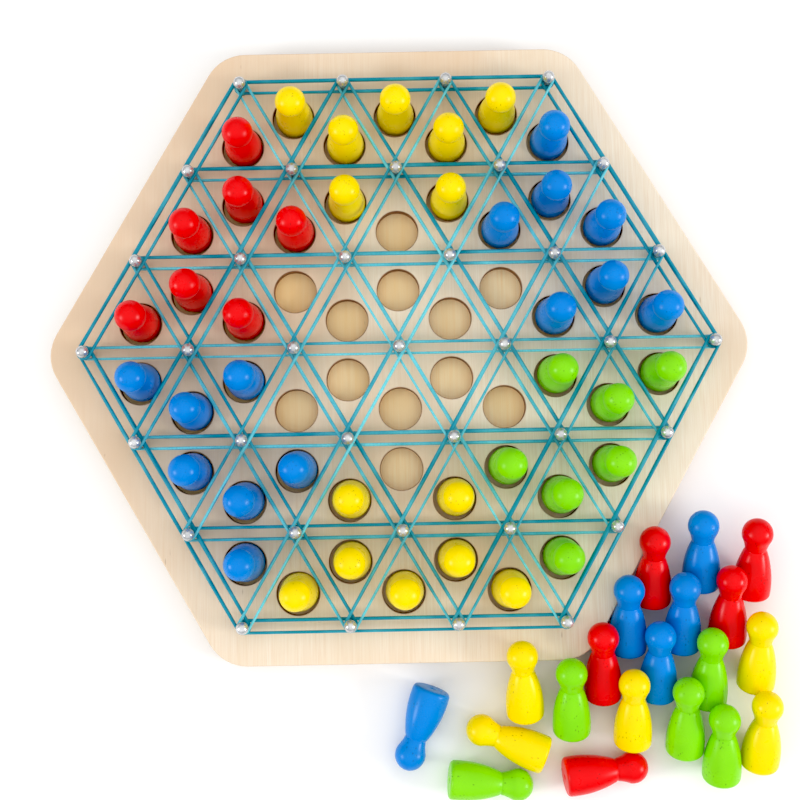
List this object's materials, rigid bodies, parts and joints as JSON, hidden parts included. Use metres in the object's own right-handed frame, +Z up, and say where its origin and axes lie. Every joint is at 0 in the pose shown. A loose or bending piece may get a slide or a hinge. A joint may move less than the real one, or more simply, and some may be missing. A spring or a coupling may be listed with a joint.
{
  "type": "rubber band triangle board game",
  "caption": "Hexagonal wooden board game with ball-headed pins, rubber bands over every pin line, round recesses in the triangles between them, and turned pawns.",
  "frame": {"origin": "centre of the hexagonal board's underside", "axes": "+Z up out of the board, +X along the level rows of pins, +Y towards the board's far edge, away from the loose pawns"},
  "size_m": [0.2471, 0.2608, 0.0347],
  "materials": {
    "plywood_top": "matte",
    "plywood_base": "matte",
    "nickel": "polished",
    "rubber": "satin",
    "paint_red": "satin paint",
    "paint_blue": "satin paint",
    "paint_green": "satin paint",
    "paint_yellow": "satin paint"
  },
  "bodies": {
    "board": {"base_board": "plywood_base", "top_board": "plywood_top", "pins": "nickel", "bands_level": "rubber", "bands_falling": "rubber", "bands_rising": "rubber"},
    "pawn_1_1_red": {"pawn_1_1_red": "paint_red"},
    "pawn_1_2_yellow": {"pawn_1_2_yellow": "paint_yellow"},
    "pawn_1_3_yellow": {"pawn_1_3_yellow": "paint_yellow"},
    "pawn_1_4_yellow": {"pawn_1_4_yellow": "paint_yellow"},
    "pawn_1_5_yellow": {"pawn_1_5_yellow": "paint_yellow"},
    "pawn_1_6_yellow": {"pawn_1_6_yellow": "paint_yellow"},
    "pawn_1_7_blue": {"pawn_1_7_blue": "paint_blue"},
    "pawn_2_1_red": {"pawn_2_1_red": "paint_red"},
    "pawn_2_2_red": {"pawn_2_2_red": "paint_red"},
    "pawn_2_3_red": {"pawn_2_3_red": "paint_red"},
    "pawn_2_4_yellow": {"pawn_2_4_yellow": "paint_yellow"},
    "pawn_2_6_yellow": {"pawn_2_6_yellow": "paint_yellow"},
    "pawn_2_7_blue": {"pawn_2_7_blue": "paint_blue"},
    "pawn_2_8_blue": {"pawn_2_8_blue": "paint_blue"},
    "pawn_2_9_blue": {"pawn_2_9_blue": "paint_blue"},
    "pawn_3_1_red": {"pawn_3_1_red": "paint_red"},
    "pawn_3_2_red": {"pawn_3_2_red": "paint_red"},
    "pawn_3_3_red": {"pawn_3_3_red": "paint_red"},
    "pawn_3_9_blue": {"pawn_3_9_blue": "paint_blue"},
    "pawn_3_10_blue": {"pawn_3_10_blue": "paint_blue"},
    "pawn_3_11_blue": {"pawn_3_11_blue": "paint_blue"},
    "pawn_4_1_blue": {"pawn_4_1_blue": "paint_blue"},
    "pawn_4_2_blue": {"pawn_4_2_blue": "paint_blue"},
    "pawn_4_3_blue": {"pawn_4_3_blue": "paint_blue"},
    "pawn_4_9_green": {"pawn_4_9_green": "paint_green"},
    "pawn_4_10_green": {"pawn_4_10_green": "paint_green"},
    "pawn_4_11_green": {"pawn_4_11_green": "paint_green"},
    "pawn_5_1_blue": {"pawn_5_1_blue": "paint_blue"},
    "pawn_5_2_blue": {"pawn_5_2_blue": "paint_blue"},
    "pawn_5_3_blue": {"pawn_5_3_blue": "paint_blue"},
    "pawn_5_4_yellow": {"pawn_5_4_yellow": "paint_yellow"},
    "pawn_5_6_yellow": {"pawn_5_6_yellow": "paint_yellow"},
    "pawn_5_7_green": {"pawn_5_7_green": "paint_green"},
    "pawn_5_8_green": {"pawn_5_8_green": "paint_green"},
    "pawn_5_9_green": {"pawn_5_9_green": "paint_green"},
    "pawn_6_1_blue": {"pawn_6_1_blue": "paint_blue"},
    "pawn_6_2_yellow": {"pawn_6_2_yellow": "paint_yellow"},
    "pawn_6_3_yellow": {"pawn_6_3_yellow": "paint_yellow"},
    "pawn_6_4_yellow": {"pawn_6_4_yellow": "paint_yellow"},
    "pawn_6_5_yellow": {"pawn_6_5_yellow": "paint_yellow"},
    "pawn_6_6_yellow": {"pawn_6_6_yellow": "paint_yellow"},
    "pawn_6_7_green": {"pawn_6_7_green": "paint_green"},
    "leaning_back": {"leaning_back_red": "paint_red", "leaning_back_blue": "paint_blue"},
    "leaning_middle": {"leaning_middle_red": "paint_red", "leaning_middle_blue": "paint_blue", "leaning_middle_green": "paint_green", "leaning_middle_yellow": "paint_yellow"},
    "leaning_front": {"leaning_front_green": "paint_green"},
    "lying_blue": {"lying_blue": "paint_blue"},
    "lying_yellow": {"lying_yellow": "paint_yellow"},
    "lying_green": {"lying_green": "paint_green"},
    "lying_red": {"lying_red": "paint_red"}
  },
  "joints": [
    {"name": "pawn_1_1_red_lift", "type": "slide", "parent": "board", "child": "pawn_1_1_red", "axis": [0, 0, 1], "range_m": [0, 0.036]},
    {"name": "pawn_1_2_yellow_lift", "type": "slide", "parent": "board", "child": "pawn_1_2_yellow", "axis": [0, 0, 1], "range_m": [0, 0.036]},
    {"name": "pawn_1_3_yellow_lift", "type": "slide", "parent": "board", "child": "pawn_1_3_yellow", "axis": [0, 0, 1], "range_m": [0, 0.036]},
    {"name": "pawn_1_4_yellow_lift", "type": "slide", "parent": "board", "child": "pawn_1_4_yellow", "axis": [0, 0, 1], "range_m": [0, 0.036]},
    {"name": "pawn_1_5_yellow_lift", "type": "slide", "parent": "board", "child": "pawn_1_5_yellow", "axis": [0, 0, 1], "range_m": [0, 0.036]},
    {"name": "pawn_1_6_yellow_lift", "type": "slide", "parent": "board", "child": "pawn_1_6_yellow", "axis": [0, 0, 1], "range_m": [0, 0.036]},
    {"name": "pawn_1_7_blue_lift", "type": "slide", "parent": "board", "child": "pawn_1_7_blue", "axis": [0, 0, 1], "range_m": [0, 0.036]},
    {"name": "pawn_2_1_red_lift", "type": "slide", "parent": "board", "child": "pawn_2_1_red", "axis": [0, 0, 1], "range_m": [0, 0.036]},
    {"name": "pawn_2_2_red_lift", "type": "slide", "parent": "board", "child": "pawn_2_2_red", "axis": [0, 0, 1], "range_m": [0, 0.036]},
    {"name": "pawn_2_3_red_lift", "type": "slide", "parent": "board", "child": "pawn_2_3_red", "axis": [0, 0, 1], "range_m": [0, 0.036]},
    {"name": "pawn_2_4_yellow_lift", "type": "slide", "parent": "board", "child": "pawn_2_4_yellow", "axis": [0, 0, 1], "range_m": [0, 0.036]},
    {"name": "pawn_2_6_yellow_lift", "type": "slide", "parent": "board", "child": "pawn_2_6_yellow", "axis": [0, 0, 1], "range_m": [0, 0.036]},
    {"name": "pawn_2_7_blue_lift", "type": "slide", "parent": "board", "child": "pawn_2_7_blue", "axis": [0, 0, 1], "range_m": [0, 0.036]},
    {"name": "pawn_2_8_blue_lift", "type": "slide", "parent": "board", "child": "pawn_2_8_blue", "axis": [0, 0, 1], "range_m": [0, 0.036]},
    {"name": "pawn_2_9_blue_lift", "type": "slide", "parent": "board", "child": "pawn_2_9_blue", "axis": [0, 0, 1], "range_m": [0, 0.036]},
    {"name": "pawn_3_1_red_lift", "type": "slide", "parent": "board", "child": "pawn_3_1_red", "axis": [0, 0, 1], "range_m": [0, 0.036]},
    {"name": "pawn_3_2_red_lift", "type": "slide", "parent": "board", "child": "pawn_3_2_red", "axis": [0, 0, 1], "range_m": [0, 0.036]},
    {"name": "pawn_3_3_red_lift", "type": "slide", "parent": "board", "child": "pawn_3_3_red", "axis": [0, 0, 1], "range_m": [0, 0.036]},
    {"name": "pawn_3_9_blue_lift", "type": "slide", "parent": "board", "child": "pawn_3_9_blue", "axis": [0, 0, 1], "range_m": [0, 0.036]},
    {"name": "pawn_3_10_blue_lift", "type": "slide", "parent": "board", "child": "pawn_3_10_blue", "axis": [0, 0, 1], "range_m": [0, 0.036]},
    {"name": "pawn_3_11_blue_lift", "type": "slide", "parent": "board", "child": "pawn_3_11_blue", "axis": [0, 0, 1], "range_m": [0, 0.036]},
    {"name": "pawn_4_1_blue_lift", "type": "slide", "parent": "board", "child": "pawn_4_1_blue", "axis": [0, 0, 1], "range_m": [0, 0.036]},
    {"name": "pawn_4_2_blue_lift", "type": "slide", "parent": "board", "child": "pawn_4_2_blue", "axis": [0, 0, 1], "range_m": [0, 0.036]},
    {"name": "pawn_4_3_blue_lift", "type": "slide", "parent": "board", "child": "pawn_4_3_blue", "axis": [0, 0, 1], "range_m": [0, 0.036]},
    {"name": "pawn_4_9_green_lift", "type": "slide", "parent": "board", "child": "pawn_4_9_green", "axis": [0, 0, 1], "range_m": [0, 0.036]},
    {"name": "pawn_4_10_green_lift", "type": "slide", "parent": "board", "child": "pawn_4_10_green", "axis": [0, 0, 1], "range_m": [0, 0.036]},
    {"name": "pawn_4_11_green_lift", "type": "slide", "parent": "board", "child": "pawn_4_11_green", "axis": [0, 0, 1], "range_m": [0, 0.036]},
    {"name": "pawn_5_1_blue_lift", "type": "slide", "parent": "board", "child": "pawn_5_1_blue", "axis": [0, 0, 1], "range_m": [0, 0.036]},
    {"name": "pawn_5_2_blue_lift", "type": "slide", "parent": "board", "child": "pawn_5_2_blue", "axis": [0, 0, 1], "range_m": [0, 0.036]},
    {"name": "pawn_5_3_blue_lift", "type": "slide", "parent": "board", "child": "pawn_5_3_blue", "axis": [0, 0, 1], "range_m": [0, 0.036]},
    {"name": "pawn_5_4_yellow_lift", "type": "slide", "parent": "board", "child": "pawn_5_4_yellow", "axis": [0, 0, 1], "range_m": [0, 0.036]},
    {"name": "pawn_5_6_yellow_lift", "type": "slide", "parent": "board", "child": "pawn_5_6_yellow", "axis": [0, 0, 1], "range_m": [0, 0.036]},
    {"name": "pawn_5_7_green_lift", "type": "slide", "parent": "board", "child": "pawn_5_7_green", "axis": [0, 0, 1], "range_m": [0, 0.036]},
    {"name": "pawn_5_8_green_lift", "type": "slide", "parent": "board", "child": "pawn_5_8_green", "axis": [0, 0, 1], "range_m": [0, 0.036]},
    {"name": "pawn_5_9_green_lift", "type": "slide", "parent": "board", "child": "pawn_5_9_green", "axis": [0, 0, 1], "range_m": [0, 0.036]},
    {"name": "pawn_6_1_blue_lift", "type": "slide", "parent": "board", "child": "pawn_6_1_blue", "axis": [0, 0, 1], "range_m": [0, 0.036]},
    {"name": "pawn_6_2_yellow_lift", "type": "slide", "parent": "board", "child": "pawn_6_2_yellow", "axis": [0, 0, 1], "range_m": [0, 0.036]},
    {"name": "pawn_6_3_yellow_lift", "type": "slide", "parent": "board", "child": "pawn_6_3_yellow", "axis": [0, 0, 1], "range_m": [0, 0.036]},
    {"name": "pawn_6_4_yellow_lift", "type": "slide", "parent": "board", "child": "pawn_6_4_yellow", "axis": [0, 0, 1], "range_m": [0, 0.036]},
    {"name": "pawn_6_5_yellow_lift", "type": "slide", "parent": "board", "child": "pawn_6_5_yellow", "axis": [0, 0, 1], "range_m": [0, 0.036]},
    {"name": "pawn_6_6_yellow_lift", "type": "slide", "parent": "board", "child": "pawn_6_6_yellow", "axis": [0, 0, 1], "range_m": [0, 0.036]},
    {"name": "pawn_6_7_green_lift", "type": "slide", "parent": "board", "child": "pawn_6_7_green", "axis": [0, 0, 1], "range_m": [0, 0.036]},
    {"name": "leaning_back_lift", "type": "slide", "parent": "board", "child": "leaning_back", "axis": [0, 0, 1], "range_m": [0, 0.036]},
    {"name": "leaning_middle_lift", "type": "slide", "parent": "leaning_back", "child": "leaning_middle", "axis": [0, 0, 1], "range_m": [0, 0.036]},
    {"name": "leaning_front_lift", "type": "slide", "parent": "leaning_middle", "child": "leaning_front", "axis": [0, 0, 1], "range_m": [0, 0.036]},
    {"name": "lying_blue_lift", "type": "slide", "parent": "board", "child": "lying_blue", "axis": [0, 0, 1], "range_m": [0, 0.036]},
    {"name": "lying_yellow_lift", "type": "slide", "parent": "board", "child": "lying_yellow", "axis": [0, 0, 1], "range_m": [0, 0.036]},
    {"name": "lying_green_lift", "type": "slide", "parent": "board", "child": "lying_green", "axis": [0, 0, 1], "range_m": [0, 0.036]},
    {"name": "lying_red_lift", "type": "slide", "parent": "board", "child": "lying_red", "axis": [0, 0, 1], "range_m": [0, 0.036]}
  ]
}
